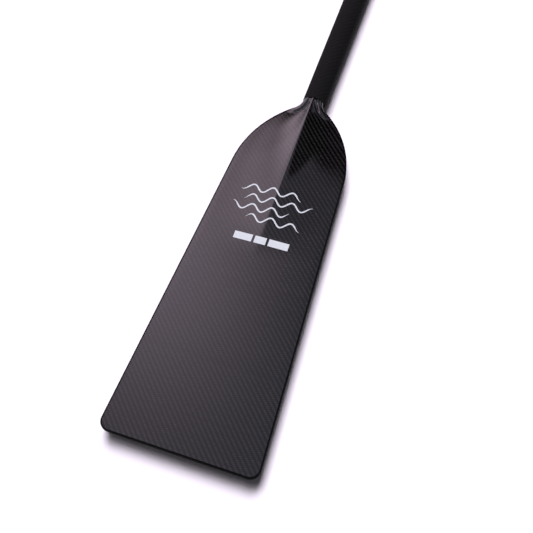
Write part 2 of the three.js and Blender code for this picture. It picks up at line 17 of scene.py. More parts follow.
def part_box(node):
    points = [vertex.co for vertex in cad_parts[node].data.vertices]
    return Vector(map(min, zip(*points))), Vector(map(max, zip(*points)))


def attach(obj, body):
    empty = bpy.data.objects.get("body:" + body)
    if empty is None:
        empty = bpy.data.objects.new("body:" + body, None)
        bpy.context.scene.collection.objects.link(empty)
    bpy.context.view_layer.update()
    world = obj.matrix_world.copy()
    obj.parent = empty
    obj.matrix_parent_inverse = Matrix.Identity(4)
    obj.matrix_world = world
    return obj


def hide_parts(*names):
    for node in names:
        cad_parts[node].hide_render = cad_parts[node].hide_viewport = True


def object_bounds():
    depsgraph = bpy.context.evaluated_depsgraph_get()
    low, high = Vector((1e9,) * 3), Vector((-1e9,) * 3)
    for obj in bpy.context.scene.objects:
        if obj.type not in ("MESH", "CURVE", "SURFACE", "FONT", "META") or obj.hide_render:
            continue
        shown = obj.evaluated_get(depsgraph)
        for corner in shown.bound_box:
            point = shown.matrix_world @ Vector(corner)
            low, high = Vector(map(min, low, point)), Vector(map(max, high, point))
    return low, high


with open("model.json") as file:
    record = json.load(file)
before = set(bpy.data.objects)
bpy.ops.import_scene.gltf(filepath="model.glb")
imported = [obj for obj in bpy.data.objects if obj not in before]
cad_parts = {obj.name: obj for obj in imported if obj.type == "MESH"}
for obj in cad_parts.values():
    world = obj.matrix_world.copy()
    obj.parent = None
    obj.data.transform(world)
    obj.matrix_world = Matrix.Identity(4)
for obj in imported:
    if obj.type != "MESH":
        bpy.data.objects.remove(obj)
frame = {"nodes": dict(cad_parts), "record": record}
cad_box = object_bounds()

MM = 0.001

# -------------------- places taken from the frame

rim_low, rim_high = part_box("blade_edge_rim")
shaft_low, shaft_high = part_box("shaft_tube")
collar_low, collar_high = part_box("clamp_collar")
wiper_low, wiper_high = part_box("wiper_ring")
tube_low, tube_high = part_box("extension_tube")
grip_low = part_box("grip_upper_shell")[0]

ORIGIN = np.array([rim_low.x, 0.0, (shaft_low.z + shaft_high.z) / 2])


def station(x):
    """The station in millimetres of a place along the frame's x axis."""
    return (x - ORIGIN[0]) / MM


BLADE_LENGTH = station(rim_high.x)
SHAFT_START = station(shaft_low.x)
SHAFT_END = station(shaft_high.x)
SHAFT_R = (shaft_high.y - shaft_low.y) / 2 / MM
CLAMP_STATION = station((collar_low.x + collar_high.x) / 2)
COLLAR_LENGTH = (collar_high.x - collar_low.x) / MM
WIPER_START = station(wiper_low.x)
WIPER_LENGTH = (wiper_high.x - wiper_low.x) / MM
WIPER_R = (wiper_high.y - wiper_low.y) / 2 / MM
TUBE_START = station(tube_low.x)
TUBE_END = station(tube_high.x)
TUBE_R = (tube_high.y - tube_low.y) / 2 / MM
GRIP_START = station(grip_low.x)

# -------------------- dimensions, millimetres

GAP = 0.3
CUT_MERGE = 0.003  # points closer than this are merged after a cut

TIP_WIDTH = 180
SIDE_TAPER = 0.056
TIP_CORNER_R = 12
SHOULDER_START = 355
SHOULDER_R = 126
NECK_FILLET_R = 14
NECK_R = 14.2
PLATE_HALF = 3
SKIN = 1.2
SPINE_START = 235
SPINE_RISE_POWER = 1.12
FLANK_POWER = 2.5
NECK_ROUND_POWER = 0.75
NECK_BLEND_START = 437
CREST_ROUND = 2.4  # how far from the middle the ridge's top is rounded off
GROOVE_START = 433  # a groove follows the edge on each side of the ridge, up to the neck
GROOVE_FULL = 449
GROOVE_DEPTH = 3.6
GROOVE_HALF = 2.6
GROOVE_INSET = 10.0
RIM_SHOWN = 1.8  # width of the resin band that the skins leave uncovered
RIM_DEPTH = 2.9
RIM_TONGUE_HALF = 1.6  # half thickness of the band's tongue, between the skins
RIM_NOSE = [  # (how far inside the edge, height) over the band's rounded nose
    (RIM_SHOWN - 0.04, 2.86), (0.6, 2.85), (0.3, 2.7), (0.1, 2.25), (0.02, 1.5),
]
EDGE_DROP = 0.12  # how far the skins' border dips, as if rubbed down with the band
RIDGE_SPACING = 0.35  # spacing of the skins' points at the ridge, against an even one

SHAFT_BORE_R = 13
SLOT_LENGTH = 34
SLOT_WIDTH = 1.6

COLLAR_R = 18
COLLAR_LIP = 5.7
COLLAR_SPLIT = 2.4
EAR_HALF = 9
EAR_REACH = 27.5
BOLT_OFFSET = 22
BOLT_HOLE_R = 2.3
PAD = {"length": 16, "width": 10, "base": 1.8, "height": 3}
CAM_CLOSED_R = 6.3
CAM_OPEN_R = 5.2
CAM_HEEL = -90
CAM_TOP = 100
LEVER_OPENING = 135
LEVER_WIDTH = 22
LEVER_FORK = 6.4
LEVER_GAP = 0.9
LEVER_THICK = 3.8
BARREL_R = 3.5
NUT = {"radius": 5.6, "ripple": 0.35, "ridges": 16, "height": 6.4}
PIVOT_HEIGHT = EAR_HALF + GAP + PAD["base"] + GAP + CAM_CLOSED_R
NUT_TOP = -(EAR_HALF + 2 * GAP + 1)
ACROSS_CLAMP = (CLAMP_STATION - 20, CLAMP_STATION + 20)  # longer than the clamp, to cut through it

TUBE_BORE_R = 9.5
KEYWAY_WIDTH = 4
KEYWAY_FLOOR_R = 10.6

PRINT_THICK = 0.05  # ink thickness, and the gap that it stands off the surface by
WAVE = {"line": 1.8, "station": 322, "spacing": 13, "height": 4.2, "length": 24, "shift": 0.9,
        "taper": 9, "point": 0.12}  # a line thins over its taper to `point` of its width
WAVE_ENDS = [(44, -30), (36, -46), (48, -22), (26, -40)]  # each line's left and right end
BAR_STATION = 257.0
BAR_WIDTH = 9.0
BAR_BLOCKS = [(20, 22), (-1, 14), (-23, 24)]  # each block's middle and length across the blade
MARK_STEP = 5
MARK_COUNT = 25
MARK_WIDTH = 0.6
MARKS_FIRST = -76  # from the wiper's end, on the handle at rest
MARK_ANGLES = {"long": 26, "middle": 16, "short": 9}  # to each side of straight up, in degrees

GRIP_WALL = 2
GRIP_END = 80
GRIP_BAR_CENTRE = 60
SEAM_REACH = 0.5  # height over which the halves' edges are rounded into the parting line
SEAM_ROUND = 0.3
GRIP_SQUARENESS = 4
GRIP_SQUARE_FROM = 14
GRIP_SQUARE_TO = 50
GRIP_OUTLINE = [  # from the shoulder, half width, half height
    (0, 13.2, 13.2),
    (14, 13.3, 13.4),
    (28, 16.5, 14.4),
    (38, 27, 15.8),
    (45, 43, 17.2),
    (52, 52, 17.9),
    (GRIP_BAR_CENTRE, 54.5, 18),
    (69, 52, 16.6),
    (76, 43, 12),
    (79.2, 29, 6.6),
    (GRIP_END, 12, 3),
]

TOW = 1.65  # width of one carbon tow
SHARP_ANGLE = 35  # degrees; a crease sharper than this isn't shaded smooth
SHARP_ANGLE_CUT = 30  # the same on pieces that have holes and slots cut in them
SHARP_ANGLE_BLADE = 50  # the same on the blade's skins, whose flanks bend softly

# -------------------- small tools


def smoothstep(value, low, high):
    """Moves smoothly from 0 to 1 as the value goes from low to high."""
    share = np.clip((np.asarray(value, float) - low) / (high - low), 0, 1)
    return share * share * (3 - 2 * share)


def place(points):
    """Points in millimetres about the shaft's axis, moved into the frame's metres."""
    return np.asarray(points, float).reshape(-1, 3) * MM + ORIGIN


def make_object(name, points, faces):
    """A closed mesh object from points in millimetres, smooth apart from its sharp edges."""
    mesh = bpy.data.meshes.new(name)
    mesh.from_pydata(place(points).tolist(), [], [list(map(int, face)) for face in faces])
    mesh.validate()
    mesh.shade_smooth()
    piece = bpy.data.objects.new(name, mesh)
    bpy.context.scene.collection.objects.link(piece)
    return fix_normals(sharpen(piece))


def sharpen(piece, angle=SHARP_ANGLE):
    """Shows an edge as sharp where its faces turn by more than the angle, in degrees."""
    piece.data.set_sharp_from_angle(angle=math.radians(angle))
    return piece


def shell_faces(rows, columns):
    """Quads of an outer and an inner grid of points that are joined all round their border.

    Each grid's points are numbered row by row, and the inner grid follows the outer one.
    """
    row = columns + 1
    sheet = (rows + 1) * row
    starts = [i * row + j for i in range(rows) for j in range(columns)]
    outer = [(a, a + row, a + row + 1, a + 1) for a in starts]
    inner = [tuple(point + sheet for point in reversed(face)) for face in outer]
    border = list(range(row))
    border += [i * row + columns for i in range(1, rows + 1)]
    border += [rows * row + j for j in range(columns - 1, -1, -1)]
    border += [i * row for i in range(rows - 1, 0, -1)]
    joins = [(a, b, b + sheet, a + sheet) for a, b in zip(border, border[1:] + border[:1])]
    return outer + inner + joins


def loop_faces(rings, around):
    """Quads that join a list of closed rings, each of `around` points."""
    faces = []
    for i in range(rings - 1):
        for k in range(around):
            a = i * around + k
            b = i * around + (k + 1) % around
            faces.append((a, b, b + around, a + around))
    return faces


def apply_modifiers(piece):
    """Replaces the piece's mesh with what its modifiers make of it."""
    bpy.context.view_layer.update()
    evaluated = piece.evaluated_get(bpy.context.evaluated_depsgraph_get())
    mesh = bpy.data.meshes.new_from_object(evaluated)
    piece.modifiers.clear()
    old = piece.data
    piece.data = mesh
    bpy.data.meshes.remove(old)


def cut(piece, *tools):
    """Cuts tools away from a piece, removes the tools and cleans up the cut's smallest faces."""
    for tool in tools:
        modifier = piece.modifiers.new("cut", "BOOLEAN")
        modifier.operation = "DIFFERENCE"
        modifier.solver = "EXACT"
        modifier.object = tool
    apply_modifiers(piece)
    for tool in tools:
        bpy.data.objects.remove(tool)
    return fix_normals(piece, CUT_MERGE * MM)


def soften(piece, width, segments=3, angle=32):
    """Rounds a piece's edges over `width` millimetres."""
    modifier = piece.modifiers.new("soften", "BEVEL")
    modifier.width = width * MM
    modifier.segments = segments
    modifier.limit_method = "ANGLE"
    modifier.angle_limit = math.radians(angle)
    modifier.use_clamp_overlap = True
    apply_modifiers(piece)
    piece.data.shade_smooth()
    return sharpen(piece)


def revolved(name, outline, around=96, centre=(0, 0), axis="x", solid=False):
    """An outline of (place along the axis, radius) points turned about an axis.

    The outline is closed into a ring, or a solid piece gets a flat face on each end.
    `centre` is the axis's place: (y, z) for an axis along x, (x, y) for one along z.
    """
    angles = np.linspace(0, 2 * math.pi, around, endpoint=False)
    points = []
    for along, radius in outline:
        for angle in angles:
            first = centre[0] + radius * math.cos(angle)
            second = centre[1] + radius * math.sin(angle)
            points.append((along, first, second) if axis == "x" else (first, second, along))
    count = len(outline)
    faces = loop_faces(count, around)
    last = (count - 1) * around
    if solid:
        faces += [tuple(range(around)), tuple(range(last, last + around))]
    else:
        faces += [(last + k, last + (k + 1) % around, (k + 1) % around, k) for k in range(around)]
    return make_object(name, points, faces)


def fix_normals(piece, merge=1e-7):
    """Merges points closer than `merge` metres, drops faces without area and turns the faces of
    a closed mesh outwards."""
    shape = bmesh.new()
    shape.from_mesh(piece.data)
    bmesh.ops.remove_doubles(shape, verts=shape.verts, dist=merge)
    bmesh.ops.dissolve_degenerate(shape, dist=merge, edges=shape.edges)
    bmesh.ops.recalc_face_normals(shape, faces=shape.faces)
    if shape.calc_volume(signed=True) < 0:
        bmesh.ops.reverse_faces(shape, faces=shape.faces)
    shape.to_mesh(piece.data)
    shape.free()
    return piece


def prism(name, outline, start, end):
    """An outline of (y, z) points given a length along x."""
    count = len(outline)
    points = [(along, y, z) for along in (start, end) for y, z in outline]
    sides = [(k, (k + 1) % count, (k + 1) % count + count, k + count) for k in range(count)]
    ends = [tuple(range(count)), tuple(range(2 * count - 1, count - 1, -1))]
    return make_object(name, points, sides + ends)


def block(name, centre, size):
    """A solid block along the axes."""
    half = [s / 2 for s in size]
    outline = [
        (centre[1] - half[1], centre[2] - half[2]),
        (centre[1] + half[1], centre[2] - half[2]),
        (centre[1] + half[1], centre[2] + half[2]),
        (centre[1] - half[1], centre[2] + half[2]),
    ]
    return prism(name, outline, centre[0] - half[0], centre[0] + half[0])


def rod(name, radius, start, end, centre=(0, 0), axis="x", around=64):
    """A solid rod, to cut with."""
    return revolved(name, [(start, radius), (end, radius)], around, centre, axis, solid=True)


def arc(centre, radius, start, end, steps):
    """Points on an arc, its ends included; the angles are in degrees."""
    angles = np.radians(np.linspace(start, end, steps + 1))
    return [(centre[0] + radius * math.cos(a), centre[1] + radius * math.sin(a)) for a in angles]


def spline(points, steps=8):
    """Points along a curve through the given points, after the first."""
    ends = [points[0], *points, points[-1]]
    result = []
    for p0, p1, p2, p3 in zip(ends, ends[1:], ends[2:], ends[3:]):
        for step in range(1, steps + 1):
            t = step / steps
            result.append(tuple(
                p1[k] + t * ((p2[k] - p0[k]) / 2 + t * (
                    p0[k] - 2.5 * p1[k] + 2 * p2[k] - p3[k] / 2
                    + t * (1.5 * (p1[k] - p2[k]) + (p3[k] - p0[k]) / 2)))
                for k in range(len(p1))))
    return result


# -------------------- materials


class Recipe:
    """The node tree of a material or world, with short ways to write sums in it."""

    def __init__(self, owner):
        owner.use_nodes = True
        self.tree = owner.node_tree
        self.tree.nodes.clear()

    def connect(self, value, socket):
        if isinstance(value, bpy.types.NodeSocket):
            self.tree.links.new(value, socket)
        else:
            socket.default_value = value

    def node(self, kind, **settings):
        made = self.tree.nodes.new(kind)
        for key, value in settings.items():
            setattr(made, key, value)
        return made

    def math(self, operation, *values):
        made = self.node("ShaderNodeMath", operation=operation)
        for value, socket in zip(values, made.inputs):
            self.connect(value, socket)
        return made.outputs[0]

    def total(self, first, *others):
        for other in others:
            first = self.math("ADD", first, other)
        return first

    def product(self, first, *others):
        for other in others:
            first = self.math("MULTIPLY", first, other)
        return first

    def ramp(self, value, low, high, to_low=0.0, to_high=1.0):
        """Moves smoothly from to_low to to_high as the value goes from low to high."""
        made = self.node("ShaderNodeMapRange", interpolation_type="SMOOTHSTEP")
        self.connect(value, made.inputs["Value"])
        made.inputs["From Min"].default_value = low
        made.inputs["From Max"].default_value = high
        made.inputs["To Min"].default_value = to_low
        made.inputs["To Max"].default_value = to_high
        return made.outputs["Result"]

    def mix(self, share, first, second):
        """A colour between two colours."""
        made = self.node("ShaderNodeMix", data_type="RGBA")
        self.connect(share, made.inputs[0])
        self.connect(first, made.inputs[6])
        self.connect(second, made.inputs[7])
        return made.outputs[2]

    def blend(self, share, first, second):
        """A number between two numbers."""
        made = self.node("ShaderNodeMix", data_type="FLOAT")
        self.connect(share, made.inputs[0])
        self.connect(first, made.inputs[2])
        self.connect(second, made.inputs[3])
        return made.outputs[0]

    def vector(self, x, y, z):
        made = self.node("ShaderNodeCombineXYZ")
        for value, socket in zip((x, y, z), made.inputs):
            self.connect(value, socket)
        return made.outputs[0]

    def place(self):
        """The point's place in the frame, in metres."""
        return self.node("ShaderNodeTexCoord").outputs["Object"]

    def split(self, vector):
        """A vector's three numbers."""
        made = self.node("ShaderNodeSeparateXYZ")
        self.connect(vector, made.inputs[0])
        return made.outputs

    def noise(self, vector, scale, detail=2.0, roughness=0.5):
        made = self.node("ShaderNodeTexNoise")
        self.connect(vector, made.inputs["Vector"])
        made.inputs["Scale"].default_value = scale
        made.inputs["Detail"].default_value = detail
        made.inputs["Roughness"].default_value = roughness
        return made.outputs[0]

    def bump(self, height, distance, strength):
        made = self.node("ShaderNodeBump")
        made.inputs["Strength"].default_value = strength
        made.inputs["Distance"].default_value = distance
        self.connect(height, made.inputs["Height"])
        return made.outputs[0]

    def surface(self, **values):
        """The Principled shader and the output; a value is a number, a colour or a socket."""
        shader = self.node("ShaderNodeBsdfPrincipled")
        for name, value in values.items():
            self.connect(value, shader.inputs[name.replace("_", " ")])
        output = self.node("ShaderNodeOutputMaterial")
        self.tree.links.new(shader.outputs[0], output.inputs["Surface"])


def grey(value, warmth=0.0):
    """A neutral colour, with a little red or blue in it."""
    return (value * (1 + warmth), value, value * (1 - warmth), 1.0)


def new_material(name):
    """A new material and the recipe to fill it with."""
    material = bpy.data.materials.new(name)
    return material, Recipe(material)


def twill(recipe, along, across, tow):
    """A 2x2 twill of tows that run along both directions.

    Returns whether the weft is on top, whose tows are counted along `along` and run across it,
    the cloth's height from 0 to 1, and a number that differs from tow to tow.
    """
    u = recipe.math("DIVIDE", along, tow)
    v = recipe.math("DIVIDE", across, tow)
    column = recipe.math("FLOOR", u)
    row = recipe.math("FLOOR", v)
    phase = recipe.math("FRACT", recipe.math("DIVIDE", recipe.math("SUBTRACT", column, row), 4.0))
    weft_up = recipe.math("GREATER_THAN", phase, 0.49)

    def arch(value):
        """0 at a tow's two edges and 1 along its middle."""
        side = recipe.math("MULTIPLY_ADD", recipe.math("FRACT", value), 2.0, -1.0)
        return recipe.math("SUBTRACT", 1.0, recipe.product(side, side))

    def float_arch(value):
        """0 where a tow dives under its neighbours and 1 in the middle of its float."""
        share = recipe.math("FRACT", recipe.math("DIVIDE", value, 4.0))
        return recipe.math("SINE", recipe.math("MULTIPLY", share, 2 * math.pi))

    warp_float = float_arch(recipe.math("SUBTRACT", u, row))
    weft_float = float_arch(recipe.math("SUBTRACT", recipe.math("SUBTRACT", column, v), 1.0))
    warp_height = recipe.math("MULTIPLY", arch(v), warp_float)
    weft_height = recipe.math("MULTIPLY", arch(u), weft_float)
    height = recipe.blend(weft_up, warp_height, weft_height)
    tow_number = recipe.blend(weft_up, row, column)
    return weft_up, height, tow_number


def carbon_colour_with_painted_light(recipe, weft_up, height, tow_number, along, across, dark, light):
    """Cloth colour with painted light: one set of tows is painted lighter than the other in place of
    the different sheen each set catches, and the cloth is painted darker at each tow's edges and
    where it dives under its neighbours, as painted shade, with random streaks of fibres and tone from
    tow to tow.
    """
    fine, coarse = 9000.0, 120.0
    warp_streaks = recipe.noise(recipe.vector(
        recipe.product(along, coarse), recipe.product(across, fine), 0.0), 1.0)
    weft_streaks = recipe.noise(recipe.vector(
        recipe.product(along, fine), recipe.product(across, coarse), 0.0), 1.0)
    streaks = recipe.blend(weft_up, warp_streaks, weft_streaks)
    tows = recipe.node("ShaderNodeTexWhiteNoise", noise_dimensions="1D")
    recipe.connect(tow_number, tows.inputs["W"])
    # painted shade: the height term darkens the cloth at each tow's edges and where it dives under
    # its neighbours; the fibre streaks and the tow-to-tow noise are the cloth's own tone
    tone_and_painted_shade = recipe.total(
        recipe.product(height, 0.25), recipe.product(streaks, 0.5),
        recipe.product(tows.outputs["Value"], 0.16), 0.1)
    # painted sheen: the weft tows on top are painted lighter than the warp ones, standing in for the
    # glint that each set catches
    base = recipe.mix(weft_up, grey(dark), grey(light, 0.04))
    return recipe.mix(recipe.ramp(tone_and_painted_shade, 0.05, 1.1), grey(dark * 0.6), base)


def gloss_carbon():
    """Twill carbon cloth under a polished clear coat, the cloth's colour holding painted sheen and
    painted shade.
    """
    material, recipe = new_material("gloss_carbon")
    spot = recipe.place()
    x, y, _ = recipe.split(spot)
    ripple = recipe.noise(spot, 9.0, 1.0)
    drift = recipe.product(recipe.math("SUBTRACT", ripple, 0.5), 0.004)
    along = recipe.total(x, drift)
    across = recipe.total(y, drift)
    weft_up, height, tow_number = twill(recipe, along, across, TOW * MM)
    # the cloth colour paints the weft tows lighter as painted sheen and darkens the tows' edges and
    # dives as painted shade
    colour = carbon_colour_with_painted_light(
        recipe, weft_up, height, tow_number, along, across, dark=0.0004, light=0.0210)
    recipe.surface(
        Base_Color=colour,
        Roughness=0.42,
        Specular_IOR_Level=0.03,
        Coat_Weight=1.0,
        Coat_Roughness=0.045,
        Coat_IOR=1.5,
        Normal=recipe.bump(height, 0.00012, 0.8))
    return material


def round_coordinates(recipe):
    """The place on a tube about the shaft's axis, the distance along it and the one around it."""
    spot = recipe.place()
    x, y, z = recipe.split(spot)
    above = recipe.math("SUBTRACT", z, float(ORIGIN[2]))
    angle = recipe.math("ARCTAN2", above, y)
    return spot, x, recipe.product(angle, SHAFT_R * MM)


def matt_carbon():
    """Carbon cloth with a matt lacquer, rubbed a little smoother in patches; the cloth's colour holds
    painted sheen and painted shade.
    """
    material, recipe = new_material("matt_carbon")
    spot, along, around = round_coordinates(recipe)
    weft_up, height, tow_number = twill(recipe, along, around, TOW * MM)
    # the cloth colour paints the weft tows lighter as painted sheen and darkens the tows' edges and
    # dives as painted shade
    colour = carbon_colour_with_painted_light(
        recipe, weft_up, height, tow_number, along, around, dark=0.0115, light=0.0182)
    patches = recipe.noise(spot, 14.0, 3.0)
    grain = recipe.noise(spot, 2600.0, 2.0)
    relief = recipe.total(recipe.product(height, 0.5), recipe.product(grain, 0.35))
    recipe.surface(
        Base_Color=colour,
        Roughness=recipe.ramp(patches, 0.3, 0.7, 0.40, 0.50),
        Specular_IOR_Level=0.008,
        Normal=recipe.bump(relief, 0.00005, 0.7))
    return material


def rim_resin():
    """Black resin, trimmed and rubbed down by hand."""
    material, recipe = new_material("rim_resin")
    spot = recipe.place()
    waves = recipe.noise(spot, 160.0, 2.0)
    grain = recipe.noise(spot, 1800.0, 2.0)
    recipe.surface(
        Base_Color=recipe.mix(waves, grey(0.0018), grey(0.004)),
        Roughness=recipe.ramp(grain, 0.3, 0.7, 0.34, 0.46),
        Specular_IOR_Level=0.012,
        Normal=recipe.bump(waves, 0.00008, 0.5))
    return material


def moulded_black():
    """Black glass-filled nylon with the fine grain of its mould."""
    material, recipe = new_material("moulded_black")
    spot = recipe.place()
    grain = recipe.noise(spot, 1500.0, 3.0, 0.6)
    patches = recipe.noise(spot, 22.0, 2.0)
    recipe.surface(
        Base_Color=recipe.mix(patches, grey(0.009), grey(0.015)),
        Roughness=recipe.ramp(grain, 0.3, 0.7, 0.44, 0.58),
        Specular_IOR_Level=0.42,
        Normal=recipe.bump(grain, 0.00012, 0.6))
    return material


def nylon():
    """Natural nylon, off-white and slightly waxy."""
    material, recipe = new_material("nylon")
    spot = recipe.place()
    x = recipe.split(spot)[0]
    clouds = recipe.noise(spot, 90.0, 2.0)
    turning = recipe.math("SINE", recipe.product(x, 9000.0))
    recipe.surface(
        Base_Color=recipe.mix(clouds, (0.58, 0.57, 0.52, 1.0), (0.68, 0.67, 0.63, 1.0)),
        Roughness=recipe.ramp(clouds, 0.3, 0.7, 0.4, 0.52),
        Subsurface_Weight=0.15,
        Subsurface_Scale=0.002,
        Normal=recipe.bump(turning, 0.00002, 0.4))
    return material


def rubber():
    """Black rubber with a dusty bloom."""
    material, recipe = new_material("rubber")
    spot = recipe.place()
    bloom = recipe.noise(spot, 240.0, 4.0, 0.6)
    recipe.surface(
        Base_Color=recipe.mix(recipe.ramp(bloom, 0.4, 0.75), grey(0.009), grey(0.022)),
        Roughness=recipe.ramp(bloom, 0.3, 0.7, 0.68, 0.86),
        Specular_IOR_Level=0.3,
        Normal=recipe.bump(bloom, 0.00006, 0.5))
    return material


def foam():
    """Pale closed-cell foam: small cells that show as pits, each painted darker towards its bottom as
    painted shade.
    """
    material, recipe = new_material("foam")
    spot = recipe.place()
    cells = recipe.node("ShaderNodeTexVoronoi")
    recipe.connect(spot, cells.inputs["Vector"])
    cells.inputs["Scale"].default_value = 900.0
    pits = cells.outputs["Distance"]
    recipe.surface(
        # painted shade: the colour darkens towards each cell's middle, where its pit is deepest
        Base_Color=recipe.mix(pits, (0.55, 0.47, 0.31, 1.0), (0.74, 0.67, 0.49, 1.0)),
        Roughness=0.88,
        Normal=recipe.bump(pits, 0.0003, 0.7))
    return material


def steel():
    """Turned stainless steel."""
    material, recipe = new_material("steel")
    x, y, z = recipe.split(recipe.place())
    turning = recipe.noise(recipe.vector(
        recipe.product(x, 700.0), recipe.product(y, 700.0), recipe.product(z, 9000.0)), 1.0, 3.0)
    recipe.surface(
        Base_Color=recipe.mix(turning, (0.46, 0.47, 0.48, 1.0), (0.62, 0.62, 0.61, 1.0)),
        Metallic=1.0,
        Roughness=recipe.ramp(turning, 0.3, 0.7, 0.24, 0.36),
        Normal=recipe.bump(turning, 0.00002, 0.5))
    return material


def black_alloy():
    """Black anodised aluminium, with bare metal showing on its most handled edges."""
    material, recipe = new_material("black_alloy")
    spot = recipe.place()
    x, y, z = recipe.split(spot)
    brushing = recipe.noise(recipe.vector(
        recipe.product(x, 9000.0), recipe.product(y, 500.0), recipe.product(z, 500.0)), 1.0, 3.0)
    geometry = recipe.node("ShaderNodeNewGeometry")
    chips = recipe.noise(spot, 900.0, 4.0, 0.65)
    edge = recipe.ramp(geometry.outputs["Pointiness"], 0.55, 0.64)
    worn = recipe.product(edge, recipe.ramp(chips, 0.52, 0.66), 0.55)
    dark = recipe.mix(brushing, grey(0.018), grey(0.032, -0.03))
    recipe.surface(
        Base_Color=recipe.mix(worn, dark, (0.42, 0.42, 0.43, 1.0)),
        Metallic=0.85,
        Roughness=recipe.ramp(brushing, 0.3, 0.7, 0.3, 0.42),
        Normal=recipe.bump(brushing, 0.00002, 0.4))
    return material


def decal_print():
    """Pale grey screen print, a little thin in places."""
    material, recipe = new_material("decal_print")
    spot = recipe.place()
    ink = recipe.noise(spot, 420.0, 3.0)
    recipe.surface(
        Base_Color=recipe.mix(ink, (0.475, 0.525, 0.53, 1.0), (0.59, 0.65, 0.64, 1.0)),
        Roughness=recipe.ramp(ink, 0.3, 0.7, 0.4, 0.5),
        Specular_IOR_Level=0.4)
    return material


def floor_white():
    """White paper with faint clouds."""
    material, recipe = new_material("floor_white")
    spot = recipe.place()
    paper = recipe.noise(spot, 3.0, 2.0)
    recipe.surface(
        Base_Color=recipe.mix(paper, (0.93, 0.93, 0.93, 1.0), (0.95, 0.95, 0.95, 1.0)),
        Roughness=0.9,
        Specular_IOR_Level=0.0)
    return material


FINISHES = (
    gloss_carbon, matt_carbon, rim_resin, foam, moulded_black, nylon, rubber, steel, black_alloy,
    decal_print,
)
MATERIALS = {finish.__name__: finish() for finish in FINISHES}


def dress_cad_nodes():
    """Gives every CAD node the procedural material of its slot."""
    for subpart in frame["record"]["subparts"]:
        node = frame["nodes"][subpart["node"]]
        for slot in node.material_slots:
            slot.material = MATERIALS[subpart["material_slot"]]


def finish_piece(piece, body, slot, *nodes):
    """Gives a piece its finish and its body, and hides the CAD nodes that it stands for."""
    piece.data.materials.append(MATERIALS[slot])
    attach(piece, body)
    if nodes:
        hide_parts(*nodes)


# -------------------- blade outline and section

side_length = math.hypot(SIDE_TAPER, 1)
SIDE_NORMAL = (SIDE_TAPER / side_length, 1 / side_length)


def straight_side(x):
    """Half width of the blade at a station, along its straight side's line."""
    return TIP_WIDTH / 2 - SIDE_TAPER * x


CORNER = (TIP_CORNER_R, straight_side(TIP_CORNER_R) - TIP_CORNER_R / SIDE_NORMAL[1])
SHOULDER = (
    SHOULDER_START - SHOULDER_R * SIDE_NORMAL[0],
    straight_side(SHOULDER_START) - SHOULDER_R * SIDE_NORMAL[1],
)
fillet_rise = NECK_R + NECK_FILLET_R - SHOULDER[1]
FILLET = (
    SHOULDER[0] + math.sqrt((SHOULDER_R + NECK_FILLET_R) ** 2 - fillet_rise ** 2),
    NECK_R + NECK_FILLET_R,
)
SIDE_ANGLE = math.degrees(math.atan2(SIDE_NORMAL[1], SIDE_NORMAL[0]))
FILLET_ANGLE = math.degrees(math.atan2(FILLET[1] - SHOULDER[1], FILLET[0] - SHOULDER[0]))


def arc_reach(radius, offset):
    """How far an arc reaches from its middle line, `offset` away from its centre."""
    return math.sqrt(max(0.0, radius ** 2 - offset ** 2))


def half_width(x, inset=0.0):
    """Half width of the blade at a station: tip corner, straight side, shoulder, neck fillet."""
    corner_r = TIP_CORNER_R - inset
    shoulder_r = SHOULDER_R - inset
    if x < CORNER[0] + corner_r * SIDE_NORMAL[0]:
        return CORNER[1] + arc_reach(corner_r, x - CORNER[0])
    if x < SHOULDER[0] + shoulder_r * SIDE_NORMAL[0]:
        return straight_side(x) - inset / SIDE_NORMAL[1]
    if x < SHOULDER[0] + shoulder_r * math.cos(math.radians(FILLET_ANGLE)):
        return SHOULDER[1] + arc_reach(shoulder_r, x - SHOULDER[0])
    return FILLET[1] - arc_reach(NECK_FILLET_R + inset, x - FILLET[0])


def from_edge(x, y):
    """How far inside the blade's shoulder, or inside its neck fillet, a point lies."""
    ahead, out = x - SHOULDER[0], abs(y) - SHOULDER[1]
    if math.degrees(math.atan2(out, ahead)) > FILLET_ANGLE:
        return SHOULDER_R - math.hypot(ahead, out)
    return math.hypot(x - FILLET[0], abs(y) - FILLET[1]) - NECK_FILLET_R


def groove(x, y):
    """Depth of the grooves that run along both edges to the neck."""
    depth = GROOVE_DEPTH * float(smoothstep(x, GROOVE_START, GROOVE_FULL))
    depth *= 1 - 0.6 * float(smoothstep(x, GROOVE_FULL + 2, BLADE_LENGTH))
    return depth * math.exp(-((from_edge(x, y) - GROOVE_INSET) / GROOVE_HALF) ** 2)


def face_height(x, y):
    """Height of the blade's face over its middle plane."""
    along = max(0.0, x - SPINE_START) / (BLADE_LENGTH - SPINE_START)
    crest = (NECK_R - PLATE_HALF) * along ** SPINE_RISE_POWER
    from_ridge = math.hypot(y, CREST_ROUND) - CREST_ROUND
    across = min(1.0, from_ridge / (half_width(x) - CREST_ROUND * 0.9))
    neck_share = float(smoothstep(x, NECK_BLEND_START, BLADE_LENGTH))
    flank = (1 - across) ** FLANK_POWER
    rounded = (1 - across ** 2) ** NECK_ROUND_POWER
    full = PLATE_HALF + crest * (flank + (rounded - flank) * neck_share)
    return max(PLATE_HALF, full - groove(x, y))


def blade_stations(inset):
    """Stations along the blade, close together where its outline and section bend."""
    quarter = np.radians(np.linspace(0, 84, 13))
    corner = CORNER[0] - (TIP_CORNER_R - inset) * np.cos(quarter)
    flat = np.linspace(CORNER[0], SPINE_START, 24)
    spine = np.linspace(SPINE_START, GROOVE_START, 90)[1:]
    neck = np.linspace(GROOVE_START, BLADE_LENGTH, 60)[1:]
    return [float(x) for x in (*corner, *flat, *spine, *neck)]


